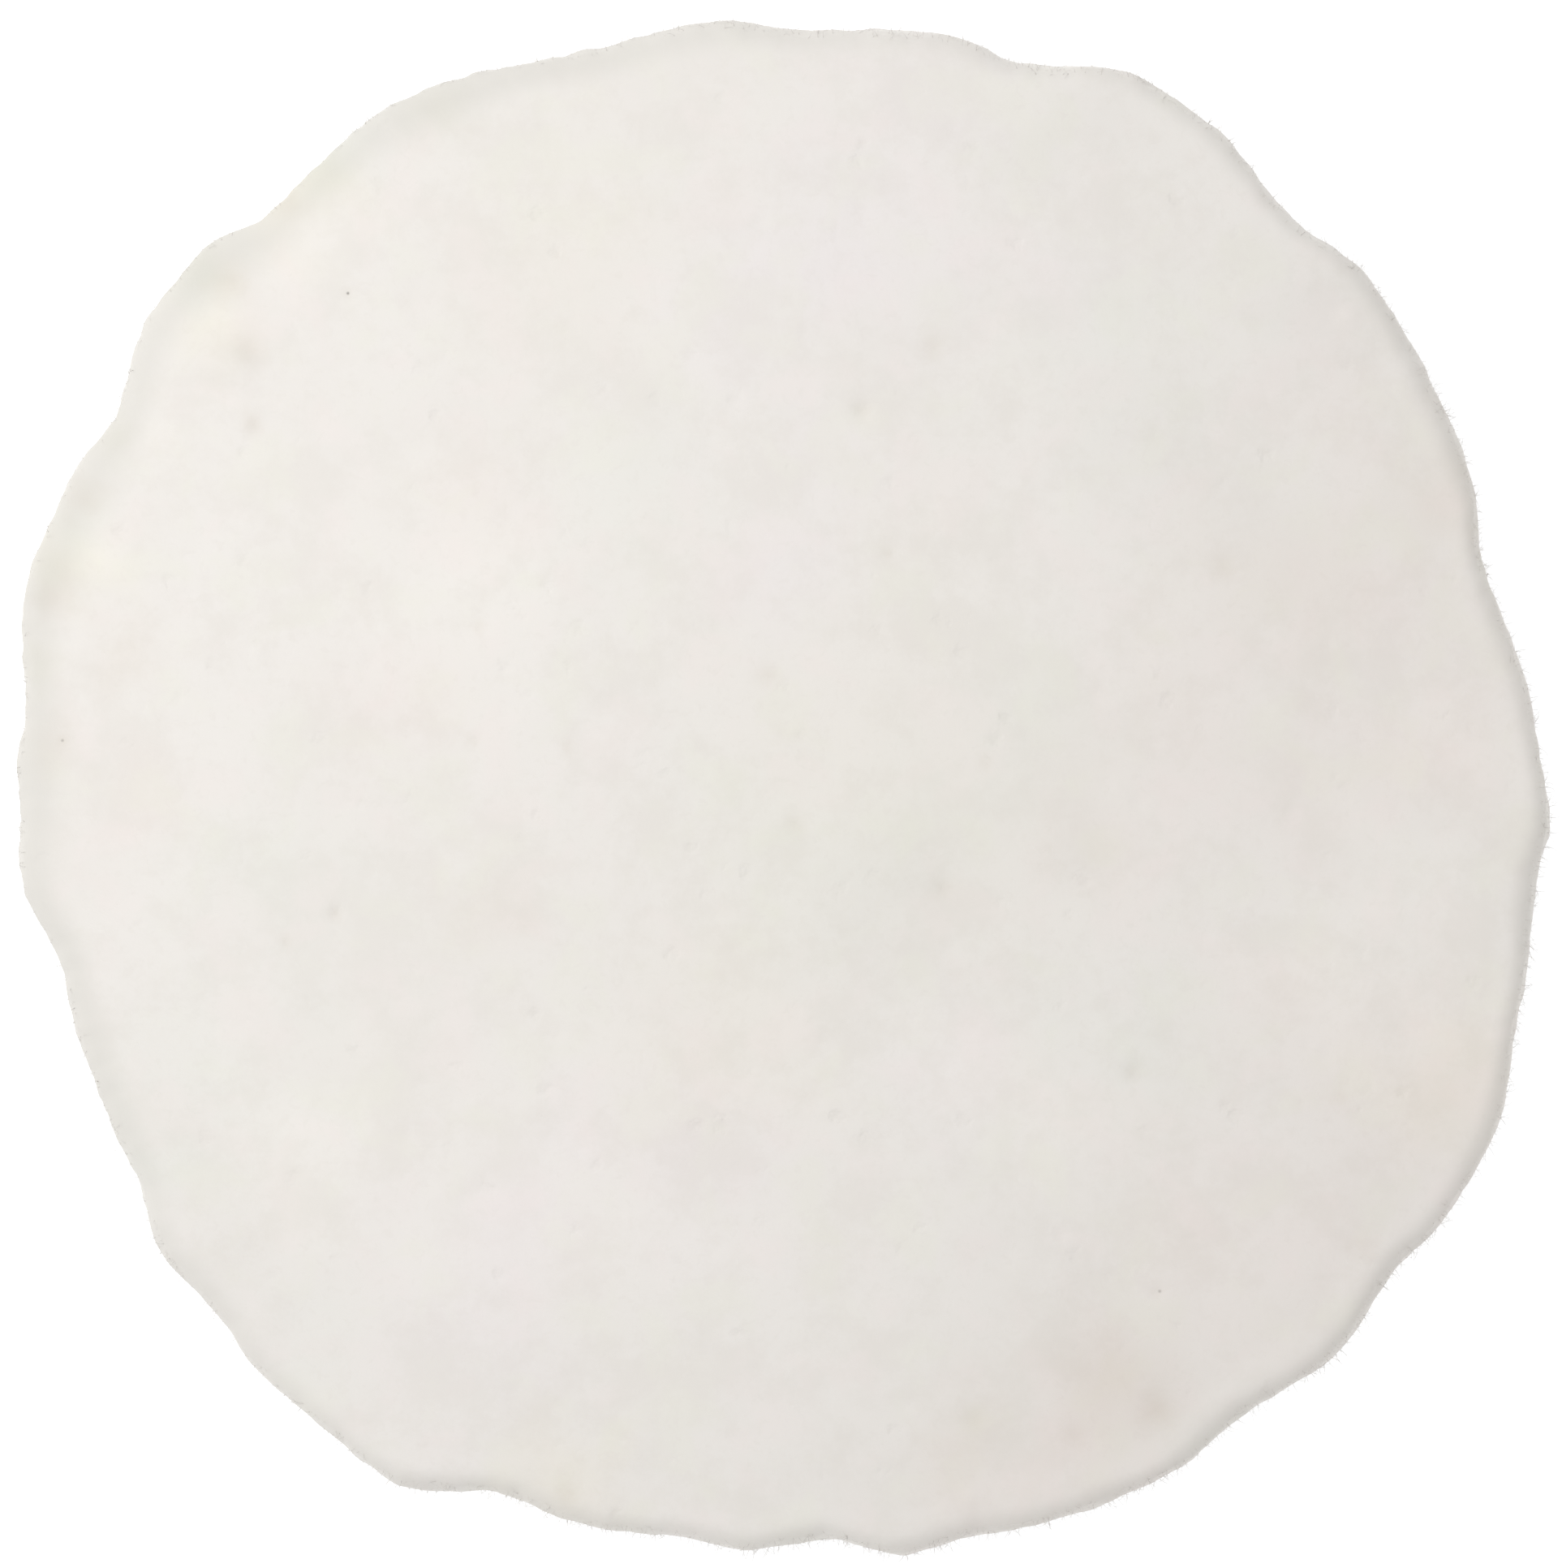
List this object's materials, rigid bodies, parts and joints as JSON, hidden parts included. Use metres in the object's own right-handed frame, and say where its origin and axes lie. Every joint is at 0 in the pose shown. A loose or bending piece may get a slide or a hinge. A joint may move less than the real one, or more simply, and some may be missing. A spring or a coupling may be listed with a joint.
{
  "type": "felt polishing wheel",
  "caption": "Thick pressed wool felt disc with an irregular hand-cut edge, hook-and-loop mounted on a cushioned aluminium plate with a flanged hub for an arbor.",
  "frame": {"origin": "centre of the arbor bore's mouth, at the end face of the hub's boss", "axes": "+Z along the arbor's axis, towards the felt's working face; +X along the first set screw's axis, out of the boss"},
  "size_m": [0.1511, 0.1513, 0.0566],
  "materials": {
    "felt": "pressed natural white wool, smooth nap",
    "melt_web": "translucent melted adhesive web",
    "loop_cloth": "knitted loop pile",
    "hook_nylon": "moulded hooks",
    "tape": "double-sided tape",
    "sponge": "closed-cell sponge with a fine cut edge",
    "plate_aluminium": "turned",
    "hub_steel": "turned and zinc plated",
    "black_steel": "black oxide",
    "spring_steel": "zinc plated",
    "tip_brass": "turned"
  },
  "bodies": {
    "head": {"hook_sheet": "hook_nylon", "hook_tape": "tape", "cushion": "sponge", "cushion_tape": "tape", "backing_plate": "plate_aluminium", "hub": "hub_steel", "hub_screw_1": "black_steel", "hub_screw_2": "black_steel", "hub_screw_3": "black_steel", "hub_screw_4": "black_steel", "spring_washer_1": "spring_steel", "spring_washer_2": "spring_steel", "spring_washer_3": "spring_steel", "spring_washer_4": "spring_steel"},
    "felt_pad": {"felt_disc": "felt", "felt_web": "melt_web", "loop_cloth": "loop_cloth"},
    "set_screw_1": {"set_screw_1": "black_steel", "set_screw_tip_1": "tip_brass"},
    "set_screw_2": {"set_screw_2": "black_steel", "set_screw_tip_2": "tip_brass"}
  },
  "joints": [
    {"name": "felt_pad_lift", "type": "slide", "parent": "head", "child": "felt_pad", "axis": [0, 0, 1], "range_m": [0, 0.03]},
    {"name": "set_screw_1_travel", "type": "slide", "parent": "head", "child": "set_screw_1", "axis": [1, 0, 0], "range_m": [-0.0014, 0.008]},
    {"name": "set_screw_2_travel", "type": "slide", "parent": "head", "child": "set_screw_2", "axis": [0, 1, 0], "range_m": [-0.0014, 0.008]}
  ]
}
